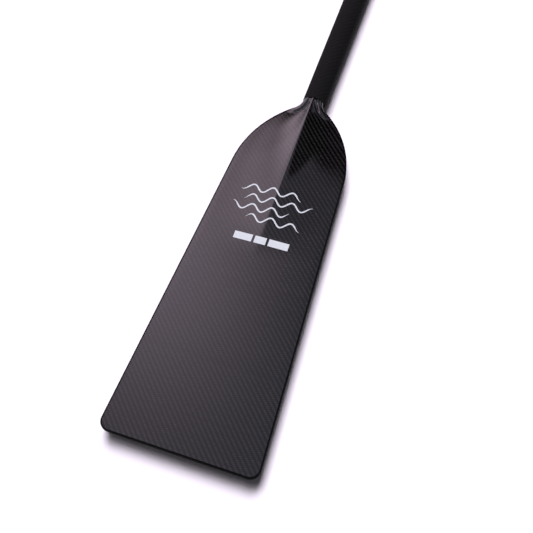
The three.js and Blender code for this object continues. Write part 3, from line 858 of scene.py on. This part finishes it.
def blade_skin(name, side):
    """One of the blade's two laminates, as a closed shell."""
    stations = blade_stations(RIM_SHOWN)
    shares = [s * (RIDGE_SPACING + (1 - RIDGE_SPACING) * s * s) for s in np.linspace(-1, 1, 97)]
    outer, inner = [], []
    for x in stations:
        reach = half_width(x, RIM_SHOWN)
        for share in shares:
            y = share * reach
            height = face_height(x, y)
            drop = EDGE_DROP if abs(share) == 1 or x == stations[0] else 0.0
            outer.append((x, y, side * (height - drop)))
            inner.append((x, y, side * (height - SKIN)))
    faces = shell_faces(len(stations) - 1, len(shares) - 1)
    return sharpen(make_object(name, outer + inner, faces), SHARP_ANGLE_BLADE)


def edge_path():
    """Points and outward directions along the blade's edge, from neck to tip to neck."""
    path = [((0.0, y), (-1.0, 0.0)) for y in np.linspace(0, CORNER[1], 12)[:-1]]

    def follow(centre, radius, angles):
        """Adds a round stretch; the radius is negative where the edge is hollow."""
        outwards = math.copysign(1, radius)
        for angle in np.radians(angles):
            way = (outwards * math.cos(angle), outwards * math.sin(angle))
            path.append(((centre[0] + radius * way[0], centre[1] + radius * way[1]), way))

    follow(CORNER, TIP_CORNER_R, np.linspace(180, SIDE_ANGLE, 20))
    follow(SHOULDER, SHOULDER_R, np.linspace(SIDE_ANGLE, FILLET_ANGLE, 70))
    end_angle = -90 - math.degrees(math.asin((FILLET[0] - BLADE_LENGTH) / NECK_FILLET_R))
    follow(FILLET, -NECK_FILLET_R, np.linspace(FILLET_ANGLE - 180, end_angle, 24)[1:])
    mirrored = [((p[0], -p[1]), (n[0], -n[1])) for p, n in reversed(path[1:])]
    return mirrored + path


def blade_rim():
    """The resin band around the blade's edge: a rounded nose with a tongue between the skins."""
    tongue = [(RIM_DEPTH, RIM_TONGUE_HALF), (RIM_NOSE[0][0], RIM_TONGUE_HALF)]
    section = RIM_NOSE + [(i, -z) for i, z in reversed(RIM_NOSE)]
    section += [(i, -z) for i, z in reversed(tongue)] + tongue
    path = edge_path()
    points = []
    for (x, y), (way_x, way_y) in path:
        for inset, z in section:
            points.append((x - inset * way_x, y - inset * way_y, z))
    around = len(section)
    faces = loop_faces(len(path), around)
    faces.append(tuple(range(around)))
    faces.append(tuple(range((len(path) - 1) * around, len(path) * around)))
    return make_object("blade_rim", points, faces)


def make_blade():
    finish_piece(blade_skin("blade_face", 1), "blade_and_shaft", "gloss_carbon", "blade_face_skin")
    finish_piece(blade_skin("blade_back", -1), "blade_and_shaft", "gloss_carbon", "blade_back_skin")
    finish_piece(blade_rim(), "blade_and_shaft", "rim_resin", "blade_edge_rim")


# -------------------- decal


def ribbon(path, width, across):
    """Points and faces of a thin printed line, of one width or many, on the blade's face."""
    path = np.asarray(path, float)
    ahead = np.gradient(path, axis=0)
    ahead /= np.linalg.norm(ahead, axis=1)[:, None]
    sideways = np.stack([-ahead[:, 1], ahead[:, 0]], axis=1)
    widths = np.broadcast_to(np.asarray(width, float), (len(path),))
    points = []
    for height in (2 * PRINT_THICK, PRINT_THICK):
        for spot, way, wide in zip(path, sideways, widths):
            for share in np.linspace(-0.5, 0.5, across + 1):
                x, y = spot + way * wide * share
                points.append((x, y, face_height(x, y) + height))
    return points, shell_faces(len(path) - 1, across)


def join_parts(parts):
    """The points and faces of several parts as those of one."""
    points, faces = [], []
    for more_points, more_faces in parts:
        faces += [tuple(i + len(points) for i in face) for face in more_faces]
        points += more_points
    return points, faces


def make_decal():
    """Plain printed waves over a bar, set across the blade below the start of the ridge."""
    waves = []
    for row, (left, right) in enumerate(WAVE_ENDS):
        y = np.linspace(left, right, 90)
        swing = np.sin(y / WAVE["length"] * 2 * math.pi + WAVE["shift"] * row)
        x = WAVE["station"] - WAVE["spacing"] * row + WAVE["height"] * swing
        taper = np.minimum(left - y, y - right) / WAVE["taper"] + WAVE["point"]
        line = WAVE["line"] * np.minimum(1, taper)
        waves.append(ribbon(np.stack([x, y], axis=1), line, across=3))
    piece = make_object("decal_waves", *join_parts(waves))
    finish_piece(piece, "blade_and_shaft", "decal_print")
    bar = []
    for centre, length in BAR_BLOCKS:
        y = np.linspace(centre + length / 2, centre - length / 2, 20)
        x = np.full(20, BAR_STATION)
        bar.append(ribbon(np.stack([x, y], axis=1), BAR_WIDTH, across=8))
    piece = make_object("decal_bar", *join_parts(bar))
    finish_piece(piece, "blade_and_shaft", "decal_print")


# -------------------- shaft, clamp and seal


def make_shaft():
    """The main shaft, its upper end slit crosswise for the clamp."""
    start, end, edge = SHAFT_START, SHAFT_END, 0.35
    outline = [
        (start, SHAFT_BORE_R),
        (start, SHAFT_R - edge),
        (start + 0.3 * edge, SHAFT_R - 0.3 * edge),
        (start + edge, SHAFT_R),
        (end - edge, SHAFT_R),
        (end, SHAFT_R - edge),
        (end, SHAFT_BORE_R),
    ]
    tube = revolved("main_shaft", outline, around=128)
    middle = end - SLOT_LENGTH / 2 + 1
    span = 3 * SHAFT_R
    cut(tube,
        block("slot", (middle, 0, 0), (SLOT_LENGTH + 2, span, SLOT_WIDTH)),
        block("slot", (middle, 0, 0), (SLOT_LENGTH + 2, SLOT_WIDTH, span)))
    sharpen(tube)
    finish_piece(tube, "blade_and_shaft", "matt_carbon", "shaft_tube")


def collar_outline():
    """The collar seen along the shaft: a ring and two ears, without its bore and split."""
    corner = 3
    angle = math.degrees(math.asin(EAR_HALF / COLLAR_R))
    outline = arc((EAR_REACH - corner, EAR_HALF - corner), corner, 0, 90, 8)
    outline += arc((0, 0), COLLAR_R, angle, 360 - angle, 96)
    outline += arc((EAR_REACH - corner, corner - EAR_HALF), corner, -90, 0, 8)
    return outline


def make_collar():
    """The split collar, with a shallow groove near each end."""
    start, end = CLAMP_STATION - COLLAR_LENGTH / 2, CLAMP_STATION + COLLAR_LENGTH / 2
    body = prism("clamp_body", collar_outline(), start, end)
    soften(body, 0.9, 3)
    groove_depth, groove_half, groove_inset = 0.5, 0.7, 4.5
    tools = [
        rod("bore", SHAFT_R + GAP, start - 1, end - COLLAR_LIP, around=96),
        rod("bore", TUBE_R + GAP, start - 1, end + 1, around=96),
        block("split", (CLAMP_STATION, EAR_REACH / 2 + 6, 0), (COLLAR_LENGTH + 4, 30, COLLAR_SPLIT)),
        rod("bolt_hole", BOLT_HOLE_R, -2 * EAR_HALF, 2 * EAR_HALF, (CLAMP_STATION, BOLT_OFFSET), "z"),
    ]
    for middle in (start + groove_inset, end - groove_inset):
        tools.append(revolved("groove", [
            (middle - groove_half, COLLAR_R - groove_depth),
            (middle - groove_half, COLLAR_R + 1),
            (middle + groove_half, COLLAR_R + 1),
            (middle + groove_half, COLLAR_R - groove_depth),
        ]))
    sharpen(cut(body, *tools), SHARP_ANGLE_CUT)
    finish_piece(body, "blade_and_shaft", "moulded_black", "clamp_collar")


def make_lever():
    """The closed lever: a cam around the pivot and an arm that follows the collar."""
    inner_r = COLLAR_R + LEVER_GAP
    outer_r = inner_r + LEVER_THICK

    def polar(radius, angle):
        return (radius * math.cos(math.radians(angle)), radius * math.sin(math.radians(angle)))

    def cam_point(angle):
        turned_by = min(1, max(0, (angle - CAM_HEEL) / LEVER_OPENING))
        y, z = polar(CAM_CLOSED_R + (CAM_OPEN_R - CAM_CLOSED_R) * turned_by, angle)
        return (y + BOLT_OFFSET, z + PIVOT_HEIGHT)

    outline = [cam_point(angle) for angle in np.linspace(CAM_HEEL, CAM_TOP, 34)]
    # from the cam up on to the arm, and along the arm's outside
    outline += spline([outline[-1], polar(outer_r + 2.6, 68), polar(outer_r + 0.4, 92)])
    outline += arc((0, 0), outer_r, 104, 152, 16)
    # the arm's end, turned up for a finger
    outline += spline([outline[-1], polar(outer_r + 1.1, 166), polar(outer_r + 2.4, 176)])
    outline += spline([outline[-1], polar(outer_r + 1.2, 180), polar(outer_r - 1.6, 175)])
    # back along the arm's inside, and round under the cam
    outline += spline([outline[-1], polar(inner_r + 0.3, 160)])
    outline += arc((0, 0), inner_r, 150, 60, 24)
    outline += [cam_point(angle) for angle in (-160, -148, -135, -123, -112, -101)]
    half = LEVER_WIDTH / 2
    lever = prism("cam_lever", outline, CLAMP_STATION - half, CLAMP_STATION + half)
    soften(lever, 0.7, 3, angle=50)
    fork_reach = 2 * (CAM_CLOSED_R + 2)
    cut(lever,
        rod("bore", BARREL_R + GAP, *ACROSS_CLAMP, (BOLT_OFFSET, PIVOT_HEIGHT)),
        block("fork", (CLAMP_STATION, BOLT_OFFSET + 2, PIVOT_HEIGHT),
              (LEVER_FORK, fork_reach, fork_reach)))
    sharpen(lever, SHARP_ANGLE_CUT)
    finish_piece(lever, "lever", "black_alloy", "clamp_lever")


def make_pad():
    """The pad under the cam, hollowed to the cam's round."""
    bottom = EAR_HALF + GAP
    pad = block(
        "slip_pad", (CLAMP_STATION, BOLT_OFFSET, bottom + PAD["height"] / 2),
        (PAD["length"], PAD["width"], PAD["height"]))
    soften(pad, 0.4, 2)
    cut(pad,
        rod("hollow", CAM_CLOSED_R + GAP, *ACROSS_CLAMP, (BOLT_OFFSET, PIVOT_HEIGHT)),
        rod("bolt_hole", BOLT_HOLE_R, 0, 2 * EAR_HALF, (CLAMP_STATION, BOLT_OFFSET), "z"))
    sharpen(pad, SHARP_ANGLE_CUT)
    finish_piece(pad, "blade_and_shaft", "nylon", "cam_pad")


def make_nut():
    """The knurled nut, its ridges stopping short of two rounded rims."""
    steps = 12 * NUT["ridges"]
    low = NUT_TOP - NUT["height"]
    edge = [(0, 0.86, 0), (0.5, 0.96, 0.3), (1.1, 1, 1)]  # inset, share of radius and of ripple
    rings = [(low + inset, share, ripple) for inset, share, ripple in edge]
    rings += [(NUT_TOP - inset, share, ripple) for inset, share, ripple in reversed(edge)]
    points = []
    for z, share, ripple in rings:
        for k in range(steps):
            angle = 2 * math.pi * k / steps
            wave = NUT["ripple"] * ripple * math.cos(NUT["ridges"] * angle)
            radius = NUT["radius"] * share + wave
            points.append((CLAMP_STATION + radius * math.cos(angle),
                           BOLT_OFFSET + radius * math.sin(angle), z))
    faces = loop_faces(len(rings), steps)
    faces.append(tuple(range(steps)))
    faces.append(tuple(range((len(rings) - 1) * steps, len(rings) * steps)))
    nut = make_object("knurled_nut", points, faces)
    hole = rod("hole", BOLT_HOLE_R, low - 2, NUT_TOP + 2, (CLAMP_STATION, BOLT_OFFSET), "z")
    sharpen(cut(nut, hole), SHARP_ANGLE_CUT)
    finish_piece(nut, "nut", "black_alloy", "adjusting_nut")


def make_wiper():
    """The rubber ring at the collar's mouth, with a lip around the sliding tube."""
    bore, end = TUBE_R + GAP, WIPER_START + WIPER_LENGTH
    outline = [
        (WIPER_START, bore),
        (WIPER_START, WIPER_R - 0.3),
        (WIPER_START + 0.3, WIPER_R),
        (WIPER_START + 1.2, WIPER_R),
        (WIPER_START + 1.7, WIPER_R - 0.7),
        (WIPER_START + 2.3, WIPER_R - 2.4),
        (end - 0.3, bore + 0.9),
        (end, bore + 0.5),
        (end, bore),
    ]
    seal = revolved("lip_seal", outline, around=128)
    finish_piece(seal, "blade_and_shaft", "rubber", "wiper_ring")


# -------------------- handle


def make_tube():
    """The sliding tube, with its keyway along the underside."""
    start, end, edge = TUBE_START, TUBE_END, 0.3
    outline = [
        (start, TUBE_BORE_R),
        (start, TUBE_R - edge),
        (start + edge, TUBE_R),
        (end, TUBE_R),
        (end, TUBE_BORE_R),
    ]
    tube = revolved("sliding_tube", outline, around=112)
    margin = 3
    depth = 2 * (TUBE_R - KEYWAY_FLOOR_R)
    cut(tube, block(
        "keyway", ((start + end) / 2, 0, -(KEYWAY_FLOOR_R + depth / 2)),
        (end - start - 2 * margin, KEYWAY_WIDTH, depth)))
    sharpen(tube)
    finish_piece(tube, "handle", "matt_carbon", "extension_tube")


def tube_mark(middle, reach):
    """A thin printed line on the sliding tube, reaching so many degrees to each side of the top."""
    points = []
    steps = max(2, int(2 * reach / 3))
    for radius in (TUBE_R + 2 * PRINT_THICK, TUBE_R + PRINT_THICK):
        for x in (middle - MARK_WIDTH / 2, middle + MARK_WIDTH / 2):
            for angle in np.radians(np.linspace(-reach, reach, steps + 1)):
                points.append((x, radius * math.sin(angle), radius * math.cos(angle)))
    return points, shell_faces(1, steps)


def make_scale():
    """Printed marks every 5 mm on the sliding tube, longer at each 10 and 50 mm."""
    parts = []
    for mark in range(MARK_COUNT):
        x = WIPER_START + WIPER_LENGTH + MARKS_FIRST + MARK_STEP * mark
        kind = "long" if mark % 10 == 0 else "middle" if mark % 2 == 0 else "short"
        parts.append(tube_mark(x, MARK_ANGLES[kind]))
    piece = make_object("length_marks", *join_parts(parts))
    finish_piece(piece, "handle", "decal_print")


def grip_rings(inset, count):
    """(station, half width, half height) of the grip's sections, `inset` inside its form.

    They follow a smooth curve through the outline's points: at each point its direction is
    weighed by the distances to the points before and after it, so that it never loops.
    """
    bar_half = GRIP_END - GRIP_BAR_CENTRE
    knots = []
    for x, width, height in GRIP_OUTLINE:
        beyond = max(0, x - GRIP_BAR_CENTRE)
        knots.append(np.array([x - beyond * inset / bar_half, width - inset, height - inset]))
    last = len(knots) - 1

    def direction(a, b, c):
        before, after = np.linalg.norm(b - a) ** 0.5, np.linalg.norm(c - b) ** 0.5
        return (b - a) / before - (c - a) / (before + after) + (c - b) / after

    rings = []
    for step in range(count + 1):
        spot = step / count * last
        i = min(int(spot), last - 1)
        start, end = knots[i], knots[i + 1]
        before = knots[i - 1] if i else 2 * knots[0] - knots[1]
        after = knots[i + 2] if i + 2 <= last else 2 * knots[last] - knots[last - 1]
        span = np.linalg.norm(end - start) ** 0.5
        leave = direction(before, start, end) * span
        arrive = direction(start, end, after) * span
        t = spot - i
        rings.append(
            start * (2 * t ** 3 - 3 * t ** 2 + 1) + leave * (t ** 3 - 2 * t ** 2 + t)
            + end * (3 * t ** 2 - 2 * t ** 3) + arrive * (t ** 3 - t ** 2))
    return rings


def grip_shell(name, side):
    """One moulded half of the T-grip, its edge rounded into the parting line."""
    sections, around = 90, 64
    seam = GAP / 2
    sheets = []
    for inset in (0, GRIP_WALL):
        sheet = []
        for x, width, height in grip_rings(inset, sections):
            share = float(smoothstep(x, GRIP_SQUARE_FROM, GRIP_SQUARE_TO))
            power = 2 / (2 + (GRIP_SQUARENESS - 2) * share)
            for k in range(around + 1):
                angle = math.pi * k / around
                c, s = math.cos(angle), abs(math.sin(angle))
                y = width * math.copysign(abs(c) ** power, c)
                z = max(seam, height * s ** power)
                if inset == 0 and z < seam + SEAM_REACH:
                    rounding = SEAM_ROUND * (1 - (z - seam) / SEAM_REACH) ** 2
                    y -= math.copysign(min(rounding, abs(y)), c)
                sheet.append((GRIP_START + x, y, side * z))
        last_ring = sheet[-(around + 1):]
        sheet += [(x, y, side * seam) for x, y, z in last_ring]  # closes the end of the palm
        sheets.append(sheet)
    return make_object(name, sheets[0] + sheets[1], shell_faces(sections + 1, around))


def make_grip():
    finish_piece(grip_shell("grip_top_half", 1), "handle", "moulded_black", "grip_upper_shell")
    finish_piece(grip_shell("grip_bottom_half", -1), "handle", "moulded_black", "grip_lower_shell")


# -------------------- studio

LAMPS = [  # how far ahead and to the left it shines from, for 1 up; width in degrees; strength
    (0.24, 0.2, 32, 0.9),
    (0.48, 0.2, 32, 1.8),
    (0.76, 0.2, 32, 1.8),
    (0.0, 0.1, 120, 0.24),
]
LAMP_COLOUR = (0.99, 0.91, 1.04)
KEY_COLOUR = (1.0, 0.78, 0.93)  # of the light surfaces on the left that the gloss reflects
FILL_COLOUR = (0.89, 0.88, 1.08)  # of the rest of the room

EYE = (-0.73047, -0.22252, 0.81782)  # the camera's place, in the frame's metres
TARGET = (-0.37214, -0.01884, 0.021)
ROLL = -11.502  # degrees
LENS = 54.03


def make_floor():
    """A white floor at the height that the paddle lies on."""
    half, top = 30.0, cad_box[0].z
    mesh = bpy.data.meshes.new("floor")
    corners = [(-half, -half, top), (half, -half, top), (half, half, top), (-half, half, top)]
    mesh.from_pydata(corners, [], [(0, 1, 2, 3)])
    mesh.materials.append(floor_white())
    floor = bpy.data.objects.new("floor", mesh)
    bpy.context.scene.collection.objects.link(floor)


def make_light():
    """A long soft light overhead and a faint wide one for the floor, and the room reflected."""
    for number, (ahead, left, angle, strength) in enumerate(LAMPS):
        data = bpy.data.lights.new(f"overhead_{number}", "SUN")
        data.energy = strength
        data.angle = math.radians(angle)
        data.color = LAMP_COLOUR
        lamp = bpy.data.objects.new(f"overhead_{number}", data)
        lamp.rotation_mode = "QUATERNION"
        lamp.rotation_quaternion = Vector((ahead, left, 1)).to_track_quat("Z", "Y")
        lamp.visible_glossy = False
        bpy.context.scene.collection.objects.link(lamp)
    make_room()


def make_room():
    """What the gloss reflects: a tall soft light ahead on the left, a dim ceiling, a dark right.

    ahead, left and up are the parts of a direction, from -1 to 1. Each ramp is the edge of a
    light surface: it fades in or out between two of their values.
    """
    world = bpy.data.worlds.new("studio")
    bpy.context.scene.world = world
    recipe = Recipe(world)
    ahead, left, up = recipe.split(recipe.node("ShaderNodeTexCoord").outputs["Generated"])
    scrim = recipe.product(
        recipe.ramp(left, 0.15, 0.36), recipe.ramp(ahead, 0.06, 0.44),
        recipe.ramp(left, 0.34, 0.46, 2.35, 2.0))
    panel = recipe.product(
        recipe.ramp(left, 0.43, 0.60), recipe.ramp(ahead, -0.5, -0.2), 1.2)
    strip = recipe.product(
        recipe.ramp(left, 0.50, 0.66), recipe.ramp(ahead, 0.35, 0.10),
        recipe.ramp(up, 0.44, 0.62, 0.0, 3.2))
    far_edge = recipe.ramp(
        recipe.math("MULTIPLY_ADD", left, -0.25, ahead), 0.455, 0.58, 1.0, 0.1)
    low_edge = recipe.ramp(left, 0.62, 0.86, 1.0, 0.25)
    key = recipe.total(
        recipe.product(recipe.total(scrim, panel), far_edge, low_edge), strip)
    ceiling = recipe.product(
        recipe.ramp(ahead, 0.28, 0.50, 0.64, 0.42),
        recipe.ramp(ahead, 0.50, 0.54, 1.0, 0.0),
        recipe.math(
            "MAXIMUM", recipe.ramp(left, -0.07, -0.02, 0.06, 1.0), recipe.ramp(ahead, 0.36, 0.16)))
    right_wall = recipe.product(
        recipe.ramp(left, -0.60, -0.76, 0.0, 0.9), recipe.ramp(up, 0.15, 0.4))
    horizon = recipe.ramp(up, 0.02, 0.10, 1.0, 0.0)

    def tinted(amount, colour):
        made = recipe.node("ShaderNodeVectorMath", operation="SCALE")
        made.inputs[0].default_value = colour
        recipe.connect(amount, made.inputs["Scale"])
        return made.outputs[0]

    both = recipe.node("ShaderNodeVectorMath", operation="ADD")
    recipe.connect(tinted(key, KEY_COLOUR), both.inputs[0])
    fill = recipe.total(ceiling, right_wall, horizon)
    recipe.connect(tinted(fill, FILL_COLOUR), both.inputs[1])
    background = recipe.node("ShaderNodeBackground")
    recipe.connect(both.outputs[0], background.inputs["Color"])
    output = recipe.node("ShaderNodeOutputWorld")
    recipe.tree.links.new(background.outputs[0], output.inputs["Surface"])
    world.cycles_visibility.diffuse = False


def make_camera():
    """Above the tip and to its right, looking along the blade towards the shaft."""
    eye = Vector(EYE)
    roll = math.radians(ROLL)
    forward = (Vector(TARGET) - eye).normalized()
    level = forward.cross(Vector((0, 0, 1))).normalized()
    upright = level.cross(forward)
    right = math.cos(roll) * level + math.sin(roll) * upright
    up = math.cos(roll) * upright - math.sin(roll) * level
    data = bpy.data.cameras.new("camera")
    data.sensor_width = 36
    data.lens = LENS
    data.clip_start = 0.01
    data.clip_end = 100
    camera = bpy.data.objects.new("camera", data)
    camera.matrix_world = Matrix((right, up, -forward)).transposed().to_4x4()
    camera.location = eye
    bpy.context.scene.collection.objects.link(camera)
    bpy.context.scene.camera = camera
    bpy.context.scene.view_settings.view_transform = "Standard"


# -------------------- the paddle

make_camera()
make_light()
make_floor()
dress_cad_nodes()
make_blade()
make_decal()
make_shaft()
make_collar()
make_lever()
make_pad()
make_nut()
make_wiper()
make_tube()
make_scale()
make_grip()
